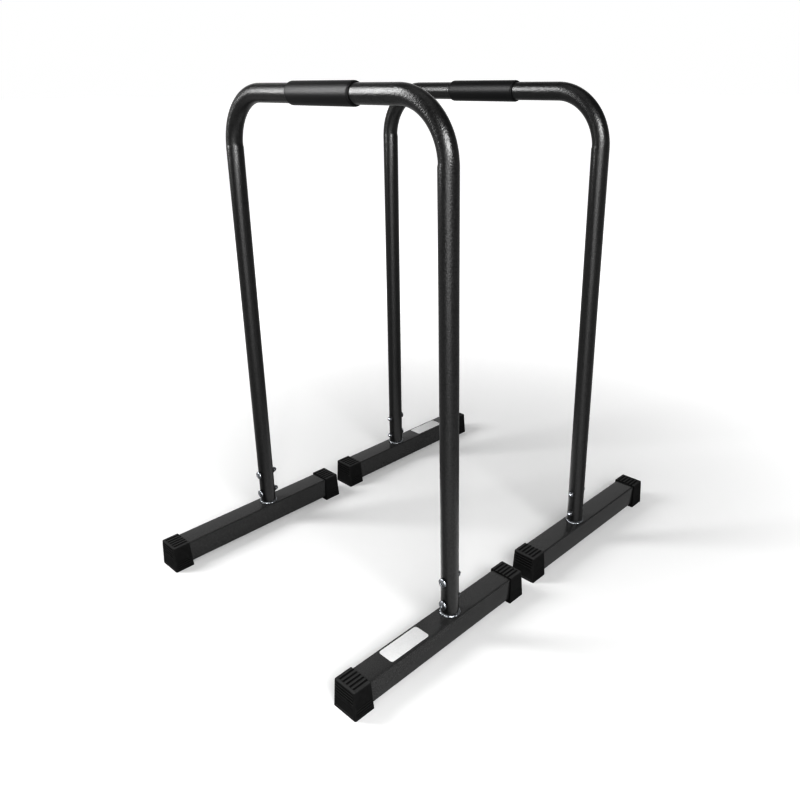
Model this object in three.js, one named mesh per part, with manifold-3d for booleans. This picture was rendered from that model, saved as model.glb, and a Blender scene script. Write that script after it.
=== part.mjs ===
// Dip station: two matching bar stands, placed end to end as a free-standing pair.
// Lengths are in millimetres. X runs along the bars, Y along the feet and Z is up.
// The origin lies on the floor, at the middle of the pair.
import * as THREE from 'three';
import { mergeVertices } from 'three/addons/utils/BufferGeometryUtils.js';
import Module from 'manifold-3d';

const wasm = await Module();
wasm.setup();

// Fits
const seatGap = 0.3; // play between a piece and what it seats on or slides over
const cutOverrun = 2; // how far a cut runs past the wall that it opens

// The pair
const capGap = 40.4; // between the soles of two caps that face each other
const standStagger = 5; // how far the far stand is set to the left of the near one

// Bent frame tube
const tubeDiameter = 32;
const tubeWall = 1.5;
const barHeight = 914; // bar axis above the floor
const barHalfLength = 270; // middle of the bar to each leg axis, carried up to the bar axis
const bendRadius = 96; // on the tube axis
const legSplay = THREE.MathUtils.degToRad(0.56); // each leg leans outward by this much
const legEndGap = 6.4; // from the foot's top up to the end of the leg

// Grip sleeve
const gripLength = 160;
const gripWall = 2.7;
const gripEdge = 1.8; // chamfer round each end

// Feet
const footTubeSize = 45;
const footTubeWall = 2;
const footTubeCorner = 3.5; // outside corner radius
const footTubeLength = 418;
const legOffset = 33; // how far the legs stand inward of the middle of the feet

// Spigot welded to each foot, which the leg slides over
const spigotWall = 2;
const spigotHeight = 92; // above the foot's top
const weldWidth = 4.2; // bead out from the spigot
const weldHeight = 4.2; // bead up from the foot's top

// End caps
const soleThickness = 7.1;
const capRoof = 2.3;
const capEndWall = 3.9;
const capLength = 34.5; // along the foot, at the top
const capSideWall = 1.5; // at the top, where the cap is narrowest
const capFlare = 2.6; // how far each side spreads from the top down to the sole
const capCorner = 3; // radius of the upright corners
const capEdge = 2.2; // rounding round the top
const soleEdge = 0.8; // chamfer round the sole
const topGroovePitch = 8.2;
const topGrooveWidth = 3.4;
const topGrooveDepth = 1;
const topGrooveEnd = 5; // land left between the grooves and the end face
const endGroovePitch = 6.2;
const endGrooveWidth = 2.2;
const endGrooveDepth = 0.9;
const endGrooveTop = 5.5; // first groove below the top
const endPanelHeight = 18;
const endPanelFoot = 4.5; // panel above the sole
const endPanelDepth = 0.8;
const sideGroovePitch = 5;
const sideGrooveWidth = 1.8;
const sideGrooveDepth = 0.6;
const sideGrooveFoot = 6; // first groove above the sole
const topGrooveCount = 5;
const endGrooveCount = 4;
const sideGrooveCount = 4;

// Through-bolts, saddle washers and cap nuts
const boltDiameter = 6;
const lowerBoltHeight = 24; // above the foot's top
const boltPitch = 47;
const headDiameter = 17;
const headHeight = 4.4;
const headRim = 1;
const socketSize = 5; // across flats
const socketDepth = 2.2;
const washerDiameter = 13;
const washerThickness = 1.2; // over the crown of the tube
const nutSize = 10; // across flats
const nutHexHeight = 4.6;
const nutDomeDiameter = 8.6;
const nutHeight = 8.9;
const nutBoreDepth = 6;
const boltReach = 5; // how far the bolt runs into its nut

// Blank label plate
const labelWidth = 34;
const labelLength = 88;
const labelThickness = 0.6;
const labelCorner = 5;
const labelFromLeg = 70; // from the leg axis to the near edge of the plate

// How finely round forms are cut
const tubeSides = 20;
const bendSteps = 7;
const gripSides = 20;
const cornerSteps = 4;
const capCornerSteps = 2;
const capEdgeSteps = 2;
const boltSides = 12;
const holeSides = 8;
const domeSteps = 3;
const beadSteps = 3;
const saddleSides = 24;
const hexSides = 6;

// Sizes that follow from those above
const tubeRadius = tubeDiameter / 2;
const boreRadius = tubeRadius - tubeWall;
const spigotRadius = boreRadius - seatGap;
const footBottom = soleThickness + seatGap;
const footTop = footBottom + footTubeSize;
const capHeight = footTop + seatGap + capRoof;
const capTopWidth = footTubeSize + 2 * (seatGap + capSideWall);
const capEndFace = seatGap + capEndWall;
const footInnerEnd = footTubeLength / 2 - legOffset; // from the leg axis
const barSpacing = capGap + 2 * (footInnerEnd + capEndFace + capFlare);
const boltHoleRadius = boltDiameter / 2 + seatGap;
const washerOuterFace = tubeRadius + seatGap + washerThickness;
const headSeat = washerOuterFace + seatGap;
const boltHeights = { lower: lowerBoltHeight, upper: lowerBoltHeight + boltPitch };

// A closed mesh as a solid that can be cut and joined
function toSolid(geometry) {
  const bare = geometry.clone();
  bare.deleteAttribute('normal');
  bare.deleteAttribute('uv');
  const welded = mergeVertices(bare);
  const corners = welded.index.array;
  const kept = [];
  for (let i = 0; i < corners.length; i += 3) {
    const [a, b, c] = [corners[i], corners[i + 1], corners[i + 2]];
    if (a !== b && b !== c && c !== a) kept.push(a, b, c);
  }
  return new wasm.Manifold(new wasm.Mesh({
    numProp: 3,
    vertProperties: Float32Array.from(welded.attributes.position.array),
    triVerts: Uint32Array.from(kept),
  }));
}

// A cut or joined solid as a mesh again
function toGeometry(solid) {
  const mesh = solid.getMesh();
  const geometry = new THREE.BufferGeometry();
  const positions = Float32Array.from(mesh.vertProperties);
  geometry.setAttribute('position', new THREE.BufferAttribute(positions, 3));
  geometry.setIndex(new THREE.BufferAttribute(Uint32Array.from(mesh.triVerts), 1));
  geometry.computeVertexNormals();
  return geometry;
}

// One solid less all of the others
function cut(solid, ...cutters) {
  return cutters.reduce((rest, cutter) => rest.subtract(cutter), solid);
}

// A block given by its size and its middle
function block(sizeX, sizeY, sizeZ, x, y, z, tiltX = 0) {
  const geometry = new THREE.BoxGeometry(sizeX, sizeY, sizeZ);
  geometry.rotateX(tiltX);
  geometry.translate(x, y, z);
  return toSolid(geometry);
}

// A round bar that lies along Y from one y to another
function roundBarAlongY(radius, fromY, toY, sides) {
  const geometry = new THREE.CylinderGeometry(radius, radius, toY - fromY, sides);
  geometry.translate(0, (fromY + toY) / 2, 0);
  return toSolid(geometry);
}

// An upright tube or bar with its foot at z = 0
function uprightTube(outerRadius, innerRadius, height) {
  const section = new THREE.Shape();
  section.absarc(0, 0, outerRadius, 0, 2 * Math.PI);
  if (innerRadius > 0) {
    const bore = new THREE.Path();
    bore.absarc(0, 0, innerRadius, 0, 2 * Math.PI);
    section.holes.push(bore);
  }
  return new THREE.ExtrudeGeometry(section, {
    depth: height, bevelEnabled: false, curveSegments: tubeSides / 2,
  });
}

// A square with rounded corners, as a shape or as a hole
function roundedSquare(Kind, size, radius) {
  const half = size / 2 - radius;
  const path = new Kind();
  path.absarc(half, half, radius, 0, Math.PI / 2);
  path.absarc(-half, half, radius, Math.PI / 2, Math.PI);
  path.absarc(-half, -half, radius, Math.PI, 3 * Math.PI / 2);
  path.absarc(half, -half, radius, 3 * Math.PI / 2, 2 * Math.PI);
  path.closePath();
  return path;
}

// The tube's axis from the end of one leg, over the bar, to the end of the other.
// Its steps are short round the bends and long along the straights.
class FrameAxis extends THREE.Curve {
  constructor() {
    super();
    const bendSweep = Math.PI / 2 - legSplay;
    const tangentLength = bendRadius * Math.tan(bendSweep / 2);
    const bendCentre = new THREE.Vector2(barHalfLength - tangentLength, barHeight - bendRadius);
    const rightSide = [];
    for (let i = 0; i <= bendSteps; i += 1) {
      const turn = bendSweep * i / bendSteps;
      rightSide.push(new THREE.Vector3(
        bendCentre.x + bendRadius * Math.sin(turn), 0, bendCentre.y + bendRadius * Math.cos(turn)));
    }
    rightSide.push(legPoint(footTop + legEndGap));
    const leftSide = rightSide.map((point) => new THREE.Vector3(-point.x, 0, point.z)).reverse();
    this.stations = [...leftSide, ...rightSide];
    this.steps = this.stations.length - 1;
  }

  getPoint(share, target = new THREE.Vector3()) {
    const place = share * this.steps;
    const index = Math.min(Math.floor(place), this.steps - 1);
    return target.lerpVectors(this.stations[index], this.stations[index + 1], place - index);
  }

  getPointAt(share, target) {
    return this.getPoint(share, target);
  }

  getTangentAt(share, target = new THREE.Vector3()) {
    const index = Math.round(share * this.steps);
    const before = this.stations[Math.max(index - 1, 0)];
    const after = this.stations[Math.min(index + 1, this.steps)];
    const here = this.stations[index];
    const arriving = here.clone().sub(before).normalize();
    const leaving = after.clone().sub(here).normalize();
    return target.copy(arriving).add(leaving).normalize();
  }
}

// The point of the right leg's axis at a height above the floor
function legPoint(height) {
  return new THREE.Vector3(barHalfLength + (barHeight - height) * Math.tan(legSplay), 0, height);
}

// Bent tube with its bore open at both ends and two bolt holes through each leg
function frameTubeGeometry() {
  const section = new THREE.Shape();
  section.absarc(0, 0, tubeRadius, 0, 2 * Math.PI);
  const bore = new THREE.Path();
  bore.absarc(0, 0, boreRadius, 0, 2 * Math.PI);
  section.holes.push(bore);
  const axis = new FrameAxis();
  const tube = new THREE.ExtrudeGeometry(section, {
    steps: axis.steps, extrudePath: axis, curveSegments: tubeSides / 2,
  });
  const holes = [];
  for (const side of [-1, 1]) {
    for (const height of Object.values(boltHeights)) {
      const centre = legPoint(footTop + height);
      const reach = tubeRadius + cutOverrun;
      holes.push(roundBarAlongY(boltHoleRadius, -reach, reach, holeSides)
        .translate([side * centre.x, 0, centre.z]));
    }
  }
  return toGeometry(cut(toSolid(tube), ...holes));
}

// Sleeve round the middle of the bar, with a small chamfer at each end
function gripGeometry() {
  const inner = tubeRadius + seatGap;
  const outer = inner + gripWall;
  const half = gripLength / 2;
  const profile = [
    new THREE.Vector2(inner, -half),
    new THREE.Vector2(outer - gripEdge, -half),
    new THREE.Vector2(outer, -half + gripEdge),
    new THREE.Vector2(outer, half - gripEdge),
    new THREE.Vector2(outer - gripEdge, half),
    new THREE.Vector2(inner, half),
    new THREE.Vector2(inner, -half),
  ];
  const sleeve = new THREE.LatheGeometry(profile, gripSides);
  sleeve.rotateZ(-Math.PI / 2);
  return toGeometry(toSolid(sleeve));
}

// Square tube, open at both ends, lying along Y with the leg axis at y = 0
function footTubeSolid() {
  const section = roundedSquare(THREE.Shape, footTubeSize, footTubeCorner);
  const boreSize = footTubeSize - 2 * footTubeWall;
  section.holes.push(roundedSquare(THREE.Path, boreSize, footTubeCorner - footTubeWall));
  const tube = new THREE.ExtrudeGeometry(section, {
    depth: footTubeLength, bevelEnabled: false, curveSegments: cornerSteps / 2,
  });
  tube.rotateX(Math.PI / 2);
  tube.translate(0, footInnerEnd, footBottom + footTubeSize / 2);
  return toSolid(tube);
}

// Weld bead round the foot of the spigot: a quarter-round fillet
function weldBeadSolid() {
  const root = spigotRadius - spigotWall / 2;
  const sunk = -footTubeWall / 2;
  const profile = [new THREE.Vector2(root, sunk), new THREE.Vector2(spigotRadius + weldWidth, sunk)];
  for (let i = 0; i <= beadSteps; i += 1) {
    const turn = Math.PI / 2 * i / beadSteps;
    profile.push(new THREE.Vector2(
      spigotRadius + weldWidth * Math.cos(turn), weldHeight * Math.sin(turn)));
  }
  profile.push(new THREE.Vector2(root, weldHeight), new THREE.Vector2(root, sunk));
  const bead = new THREE.LatheGeometry(profile, tubeSides);
  bead.rotateX(Math.PI / 2);
  return toSolid(bead);
}

// Foot weldment: square tube, spigot and bead in one piece. The spigot leans with the leg.
function footGeometry(side) {
  const sunk = footTubeWall / 2;
  const spigotTube = uprightTube(spigotRadius, spigotRadius - spigotWall, spigotHeight + sunk);
  spigotTube.translate(0, 0, -sunk);
  const reach = spigotRadius + cutOverrun;
  const holes = Object.values(boltHeights).map((height) =>
    roundBarAlongY(boltHoleRadius, -reach, reach, holeSides).translate([0, 0, height]));
  const lean = -side * THREE.MathUtils.radToDeg(legSplay);
  const upright = cut(toSolid(spigotTube).add(weldBeadSolid()), ...holes)
    .rotate([0, lean, 0])
    .translate([0, 0, footTop]);
  return toGeometry(footTubeSolid().add(upright));
}

// One level of an end cap's outside: a rectangle with rounded corners.
// The cap's own frame has the tube's end at y = 0 and the end face towards +Y.
function capRing(height, inset) {
  const spread = capFlare * (1 - height / capHeight) - inset;
  const radius = capCorner - Math.min(inset, capCorner / 2);
  const right = capTopWidth / 2 + spread - radius;
  const back = capEndFace + spread - radius;
  const front = capEndFace - capLength - spread + radius;
  const centres = [[right, back], [-right, back], [-right, front], [right, front]];
  const ring = [];
  centres.forEach(([x, y], quarter) => {
    for (let i = 0; i <= capCornerSteps; i += 1) {
      const turn = Math.PI / 2 * (quarter + i / capCornerSteps);
      ring.push(new THREE.Vector3(x + radius * Math.cos(turn), y + radius * Math.sin(turn), height));
    }
  });
  return ring;
}

// A closed mesh over level rings that all have the same number of points
function loft(rings) {
  const count = rings[0].length;
  const faces = [];
  for (let level = 0; level < rings.length - 1; level += 1) {
    for (let i = 0; i < count; i += 1) {
      const low = level * count + i;
      const lowNext = level * count + (i + 1) % count;
      faces.push(low, lowNext, lowNext + count, low, lowNext + count, low + count);
    }
  }
  const top = (rings.length - 1) * count;
  for (let i = 1; i < count - 1; i += 1) {
    faces.push(0, i + 1, i, top, top + i, top + i + 1);
  }
  const geometry = new THREE.BufferGeometry().setFromPoints(rings.flat());
  geometry.setIndex(faces);
  return geometry;
}

// The outside of an end cap, spreading from its top down to its sole
function capBodySolid() {
  const rings = [capRing(0, soleEdge), capRing(soleEdge, 0)];
  for (let i = 0; i <= capEdgeSteps; i += 1) {
    const turn = Math.PI / 2 * i / capEdgeSteps;
    rings.push(capRing(capHeight - capEdge * (1 - Math.sin(turn)), capEdge * (1 - Math.cos(turn))));
  }
  return toSolid(loft(rings));
}

// Grooves that run along the foot in the cap's top, open at its inner edge
function capTopGrooves() {
  const inner = capEndFace - capLength - cutOverrun;
  const outer = capEndFace - topGrooveEnd;
  const grooves = [];
  for (let i = 0; i < topGrooveCount; i += 1) {
    const x = (i - (topGrooveCount - 1) / 2) * topGroovePitch;
    grooves.push(block(
      topGrooveWidth, outer - inner, 2 * topGrooveDepth, x, (inner + outer) / 2, capHeight));
  }
  return grooves;
}

// Level grooves across the upper part of the cap's end face
function capEndGrooves() {
  const grooves = [];
  for (let i = 0; i < endGrooveCount; i += 1) {
    const z = capHeight - endGrooveTop - i * endGroovePitch;
    const face = capEndFace + capFlare * (1 - z / capHeight);
    grooves.push(block(capTopWidth - 2 * capCorner, 2 * endGrooveDepth, endGrooveWidth, 0, face, z));
  }
  return grooves;
}

// Shallow sunk panel in the lower part of the cap's end face, which leans with it
function capEndPanel() {
  const z = endPanelFoot + endPanelHeight / 2;
  const face = capEndFace + capFlare * (1 - z / capHeight);
  const lean = Math.atan2(capFlare, capHeight);
  return block(capTopWidth - 2 * capCorner, 2 * endPanelDepth, endPanelHeight, 0, face, z, lean);
}

// Fine level grooves along the foot of both side faces
function capSideGrooves() {
  const length = capLength - 2 * capCorner;
  const grooves = [];
  for (let i = 0; i < sideGrooveCount; i += 1) {
    const z = sideGrooveFoot + i * sideGroovePitch;
    const face = capTopWidth / 2 + capFlare * (1 - z / capHeight);
    for (const side of [-1, 1]) {
      grooves.push(block(
        2 * sideGrooveDepth, length, sideGrooveWidth, side * face, capEndFace - capLength / 2, z));
    }
  }
  return grooves;
}

// The pocket that the foot's tube pushes into
function capPocket() {
  const section = roundedSquare(THREE.Shape, footTubeSize + 2 * seatGap, footTubeCorner + seatGap);
  const pocket = new THREE.ExtrudeGeometry(section, {
    depth: capLength + capFlare + cutOverrun, bevelEnabled: false, curveSegments: cornerSteps / 2,
  });
  pocket.rotateX(Math.PI / 2);
  pocket.translate(0, seatGap, footBottom + footTubeSize / 2);
  return toSolid(pocket);
}

// Ribbed end cap, moulded with a thick sole
function capGeometry() {
  const details = [...capTopGrooves(), ...capEndGrooves(), capEndPanel(), ...capSideGrooves()];
  return toGeometry(cut(capBodySolid(), capPocket(), ...details));
}

// Button-head bolt that lies along Y, with its head towards -Y and a hexagon socket
function boltGeometry() {
  const shank = boltDiameter / 2;
  const head = headDiameter / 2;
  const crown = headSeat + headHeight;
  const profile = [new THREE.Vector2(0, -crown)];
  for (let i = 1; i <= domeSteps; i += 1) {
    const turn = Math.PI / 2 * i / domeSteps;
    profile.push(new THREE.Vector2(
      head * Math.sin(turn), -(headSeat + headRim) - (headHeight - headRim) * Math.cos(turn)));
  }
  profile.push(
    new THREE.Vector2(head, -headSeat),
    new THREE.Vector2(shank, -headSeat),
    new THREE.Vector2(shank, headSeat + boltReach),
    new THREE.Vector2(0, headSeat + boltReach));
  const socket = new THREE.CylinderGeometry(
    socketSize / Math.sqrt(3), socketSize / Math.sqrt(3), 2 * socketDepth, hexSides);
  socket.translate(0, -crown, 0);
  return toGeometry(cut(toSolid(new THREE.LatheGeometry(profile, boltSides)), toSolid(socket)));
}

// Saddle washer: flat outside, hollowed inside to sit on the round leg
function washerGeometry(side) {
  const radius = washerDiameter / 2;
  const saddle = tubeRadius + seatGap;
  const rimDrop = saddle - Math.sqrt(saddle * saddle - radius * radius);
  const inner = saddle - rimDrop - cutOverrun;
  const disc = roundBarAlongY(radius, inner, washerOuterFace, boltSides);
  const hole = roundBarAlongY(
    boltHoleRadius, inner - cutOverrun, washerOuterFace + cutOverrun, holeSides);
  const leg = new THREE.CylinderGeometry(saddle, saddle, washerDiameter + 2 * cutOverrun, saddleSides);
  leg.rotateX(Math.PI / 2);
  const washer = cut(disc, hole, toSolid(leg));
  return toGeometry(side > 0 ? washer : washer.rotate([0, 0, 180]));
}

// Cap nut on the bolt's far end: hexagon, dome and blind bore
function capNutGeometry() {
  const hexRadius = nutSize / Math.sqrt(3);
  const dome = nutDomeDiameter / 2;
  const hexagon = new THREE.CylinderGeometry(hexRadius, hexRadius, nutHexHeight, hexSides);
  hexagon.translate(0, headSeat + nutHexHeight / 2, 0);
  const profile = [
    new THREE.Vector2(0, headSeat + nutHexHeight / 2),
    new THREE.Vector2(dome, headSeat + nutHexHeight / 2),
  ];
  const domeBase = headSeat + nutHeight - dome;
  for (let i = 0; i <= domeSteps; i += 1) {
    const turn = Math.PI / 2 * i / domeSteps;
    profile.push(new THREE.Vector2(dome * Math.cos(turn), domeBase + dome * Math.sin(turn)));
  }
  const cover = toSolid(new THREE.LatheGeometry(profile, boltSides));
  const bore = roundBarAlongY(boltHoleRadius, headSeat - cutOverrun, headSeat + nutBoreDepth, holeSides);
  return toGeometry(cut(toSolid(hexagon).add(cover), bore));
}

// Thin blank plate with rounded corners, lying on the foot's top
function labelGeometry() {
  const halfWidth = labelWidth / 2 - labelCorner;
  const halfLength = labelLength / 2 - labelCorner;
  const outline = new THREE.Shape();
  outline.absarc(halfWidth, halfLength, labelCorner, 0, Math.PI / 2);
  outline.absarc(-halfWidth, halfLength, labelCorner, Math.PI / 2, Math.PI);
  outline.absarc(-halfWidth, -halfLength, labelCorner, Math.PI, 3 * Math.PI / 2);
  outline.absarc(halfWidth, -halfLength, labelCorner, 3 * Math.PI / 2, 2 * Math.PI);
  outline.closePath();
  const plate = new THREE.ExtrudeGeometry(outline, {
    depth: labelThickness, bevelEnabled: false, curveSegments: cornerSteps / 2,
  });
  return toGeometry(toSolid(plate));
}

// Finishes
function finish(color, roughness, metalness) {
  return () => new THREE.MeshStandardMaterial({ color, roughness, metalness });
}
const hammeredPaint = finish('#232426', 0.35, 0.5);
const satinPaint = finish('#2c2d2f', 0.5, 0.4);
const gripRubber = finish('#1d1d1e', 0.6, 0);
const capRubber = finish('#141415', 0.75, 0);
const zincSteel = finish('#c9cbce', 0.3, 1);
const blackNylon = finish('#161617', 0.5, 0);
const whitePlate = finish('#f1f1ef', 0.5, 0);

// A named mesh of one piece
function piece(name, geometry, material) {
  const mesh = new THREE.Mesh(geometry, material());
  mesh.name = name;
  return mesh;
}

// Shapes that are the same on every stand
const shapes = {
  frame: frameTubeGeometry(),
  grip: gripGeometry(),
  foot: { '-1': footGeometry(-1), 1: footGeometry(1) },
  cap: capGeometry(),
  bolt: boltGeometry(),
  headWasher: washerGeometry(-1),
  nutWasher: washerGeometry(1),
  capNut: capNutGeometry(),
  label: labelGeometry(),
};

// An end cap pushed onto one end of a foot, outward or inward of the pair
function endCap(name, towardsOutside) {
  const cap = piece(name, shapes.cap, capRubber);
  cap.position.y = towardsOutside ? footInnerEnd - footTubeLength : footInnerEnd;
  cap.rotation.z = towardsOutside ? Math.PI : 0;
  return cap;
}

// The bolts, washers and nuts of one leg, in a group that leans with the leg
function legFasteners(prefix, side) {
  const leg = new THREE.Group();
  leg.position.z = footTop;
  leg.rotation.y = -side * legSplay;
  for (const [level, height] of Object.entries(boltHeights)) {
    const set = [
      piece(`${prefix}_${level}_bolt`, shapes.bolt, zincSteel),
      piece(`${prefix}_${level}_head_washer`, shapes.headWasher, blackNylon),
      piece(`${prefix}_${level}_nut_washer`, shapes.nutWasher, blackNylon),
      piece(`${prefix}_${level}_cap_nut`, shapes.capNut, zincSteel),
    ];
    for (const mesh of set) mesh.position.z = height;
    leg.add(...set);
  }
  return leg;
}

// One foot with its caps and fasteners, standing under the leg on that side
function footAssembly(prefix, side) {
  const foot = new THREE.Group();
  foot.position.x = side * legPoint(footTop).x;
  foot.add(
    piece(`${prefix}_foot`, shapes.foot[side], satinPaint),
    endCap(`${prefix}_outer_cap`, true),
    endCap(`${prefix}_inner_cap`, false),
    legFasteners(prefix, side));
  return foot;
}

// One whole stand, with its leg axes in the plane y = 0 and its outer side towards -Y
function stand(prefix, sideNames) {
  const group = new THREE.Group();
  const grip = piece(`${prefix}_grip_sleeve`, shapes.grip, gripRubber);
  grip.position.z = barHeight;
  const label = piece(`${prefix}_blank_label`, shapes.label, whitePlate);
  label.position.set(legPoint(footTop).x, -labelFromLeg - labelLength / 2, footTop + seatGap);
  group.add(
    piece(`${prefix}_frame_tube`, shapes.frame, hammeredPaint),
    grip,
    footAssembly(`${prefix}_${sideNames.right}`, 1),
    footAssembly(`${prefix}_${sideNames.left}`, -1),
    label);
  return group;
}

// The near stand as it is, and the far one turned half round to face it
const dipStation = new THREE.Group();
const nearStand = stand('near', { right: 'front', left: 'rear' });
nearStand.position.set(standStagger / 2, -barSpacing / 2, 0);
const farStand = stand('far', { right: 'rear', left: 'front' });
farStand.position.set(-standStagger / 2, barSpacing / 2, 0);
farStand.rotation.z = Math.PI;
dipStation.add(nearStand, farStand);

export default dipStation;
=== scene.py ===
"""Dip station: two matching bent-tube bar stands, dressed round the packed frame."""

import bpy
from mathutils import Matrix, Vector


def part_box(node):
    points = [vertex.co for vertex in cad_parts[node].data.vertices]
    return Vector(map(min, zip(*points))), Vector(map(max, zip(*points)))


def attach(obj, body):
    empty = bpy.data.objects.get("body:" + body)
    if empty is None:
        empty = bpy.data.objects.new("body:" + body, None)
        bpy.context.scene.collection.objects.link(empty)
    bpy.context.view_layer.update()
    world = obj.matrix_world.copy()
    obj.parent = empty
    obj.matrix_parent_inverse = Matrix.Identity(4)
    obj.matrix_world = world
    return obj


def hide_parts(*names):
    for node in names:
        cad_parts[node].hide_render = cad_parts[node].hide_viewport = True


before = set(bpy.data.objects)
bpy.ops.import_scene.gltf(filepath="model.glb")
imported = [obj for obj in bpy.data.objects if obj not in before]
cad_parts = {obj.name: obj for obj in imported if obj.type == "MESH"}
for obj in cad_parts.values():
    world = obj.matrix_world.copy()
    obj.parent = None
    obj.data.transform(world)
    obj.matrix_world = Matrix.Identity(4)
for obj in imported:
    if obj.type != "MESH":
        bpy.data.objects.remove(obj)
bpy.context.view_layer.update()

from functools import partial
from math import asin, copysign, cos, pi, radians, sin, sqrt, tan

import bmesh
import bpy
from bpy.props import FloatProperty, FloatVectorProperty, IntProperty, PointerProperty
from mathutils import Matrix, Vector

bl_info = {
    "name": "Dip station",
    "version": (1, 0, 0),
    "blender": (4, 5, 0),
    "location": "View3D > Sidebar > Dip station",
    "description": "Builds the pieces, finishes and studio of a pair of dip stands",
    "category": "Add Mesh",
}

MM = 0.001
BODY = "root"
STANDS = ("near", "far")
# Each foot with its stand and the side of the stand that it is on
LEGS = (("near", "front", 1), ("near", "rear", -1), ("far", "front", -1), ("far", "rear", 1))
WHITE = (1.0, 1.0, 1.0, 1.0)
WELD_DISTANCE = 0.0001 * MM
SHARP_EDGE = radians(38)
SHARP_TURNED_EDGE = radians(50)
SHARP_RUBBER_EDGE = radians(60)
# Sockets of a Mix node that mixes colours
MIX_SHARE, MIX_UNDER, MIX_OVER, MIX_RESULT = 0, 6, 7, 2
# Place, aim, size and power of each softbox. The last two lie on the floor and face up
SOFTBOXES = {
    "left": ((-1.12, -1.2, 1.58), (0.1, -0.1, 0.9), (0.5, 1.4), 84.0),
    "right": ((1.8, -1.04, 1.62), (0.2, 0.0, 0.8), (1.5, 0.9), 150.0),
    "front": ((1.5, -1.78, 0.7), (0.0, 0.0, 0.5), (1.8, 1.4), 60.0),
    "top": ((0.0, -0.3, 2.7), (0.0, 0.0, 0.0), (1.5, 1.5), 12.0),
    "back": ((-2.6, 2.6, 2.6), (0.0, 0.0, 0.0), (5.0, 3.0), 48.0),
    "low": ((0.55, -0.325, 0.002), (0.55, -0.325, 1.0), (0.7, 1.05), 3.9),
    "inner": ((-0.05, -0.03, 0.002), (-0.05, -0.03, 1.0), (0.4, 0.66), 1.5),
}
FLAGGED_SOFTBOXES = ("low", "inner")


# Sizes read off the frame


def node_size(node):
    """Length of a node's box along each axis."""
    low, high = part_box(node)
    return high - low


TUBE_DIAMETER = node_size("near_frame_tube").y
FRAME_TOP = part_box("near_frame_tube")[1].z
GRIP_SIZE = node_size("near_grip_sleeve")
CAP_HEIGHT = node_size("near_front_outer_cap").z
LABEL_SIZE = node_size("near_blank_label")


# Settings that a user may change


def length(description, default):
    """A length in metres."""
    return partial(FloatProperty, description=description, default=default, min=0.0,
                   unit="LENGTH", subtype="DISTANCE", precision=5)


def mm(description, millimetres):
    """A length that is given in millimetres."""
    return length(description, millimetres * MM)


def angle(description, degrees):
    """An angle that is given in degrees."""
    return partial(FloatProperty, description=description, default=radians(degrees), subtype="ANGLE")


def count(description, default):
    """A number of steps or copies."""
    return partial(IntProperty, description=description, default=default, min=1)


def level(description, default, unit="NONE"):
    """A power, strength or share."""
    return partial(FloatProperty, description=description, default=default, min=0.0, unit=unit)


def point(description, default):
    """A place in space."""
    return partial(FloatVectorProperty, description=description, default=default, size=3,
                   unit="LENGTH", subtype="TRANSLATION")


def pair(description, default, unit="NONE"):
    """Two values, across and up."""
    return partial(FloatVectorProperty, description=description, default=default, size=2, unit=unit)


def colour(description, hex_value):
    """A colour that is given as an sRGB hex value."""
    return partial(FloatVectorProperty, description=description, default=linear(hex_value), size=3,
                   subtype="COLOR", min=0.0, max=1.0)


def linear(hex_value):
    """An sRGB hex colour as linear red, green and blue."""
    channels = [int(hex_value[i:i + 2], 16) / 255 for i in (1, 3, 5)]
    return tuple(c / 12.92 if c <= 0.04045 else ((c + 0.055) / 1.055) ** 2.4 for c in channels)


def named(group):
    """Gives each setting of a group a name made from its key."""
    for key, setting in group.__annotations__.items():
        group.__annotations__[key] = setting(name=key.replace("_", " ").capitalize())
    return group


@named
class TubeSizes(bpy.types.PropertyGroup):
    """Sizes of the bent frame tube."""
    diameter: length("Outside diameter of the tube", TUBE_DIAMETER)
    wall: mm("Wall of the tube", 1.5)
    bar_height: length("Bar's axis above the floor", FRAME_TOP - TUBE_DIAMETER / 2)
    half_length: mm("Middle of the bar to a leg's axis", 270)
    bend_radius: mm("Radius of the bends on the tube's axis", 96)
    splay: angle("Outward lean of each leg", 0.56)
    end_gap: mm("Foot's top to the end of the leg", 4.8)
    lip: mm("Rounding of the cut ends", 0.25)
    squeeze: mm("How far a bend draws its inner side in", 1.2)
    shoulder: mm("Run-out of the squeeze where a bend meets its leg", 9)
    sides: count("Facets round the tube", 72)
    bend_steps: count("Sections in each bend", 28)
    shoulder_steps: count("Sections in each shoulder", 6)
    straight_steps: count("Sections in each straight", 8)


@named
class GripSizes(bpy.types.PropertyGroup):
    """Sizes of the rubber grip sleeve."""
    length: length("Length of the sleeve", GRIP_SIZE.x)
    diameter: length("Outside diameter of the sleeve", GRIP_SIZE.z)
    play: mm("Gap to the tube", 0.3)
    edge: mm("How far the sleeve narrows at each end", 1.9)
    edge_run: mm("Length of the rounding at each end", 4.5)
    edge_steps: count("Steps over each rounding", 8)
    sides: count("Facets round the sleeve", 96)


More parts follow.
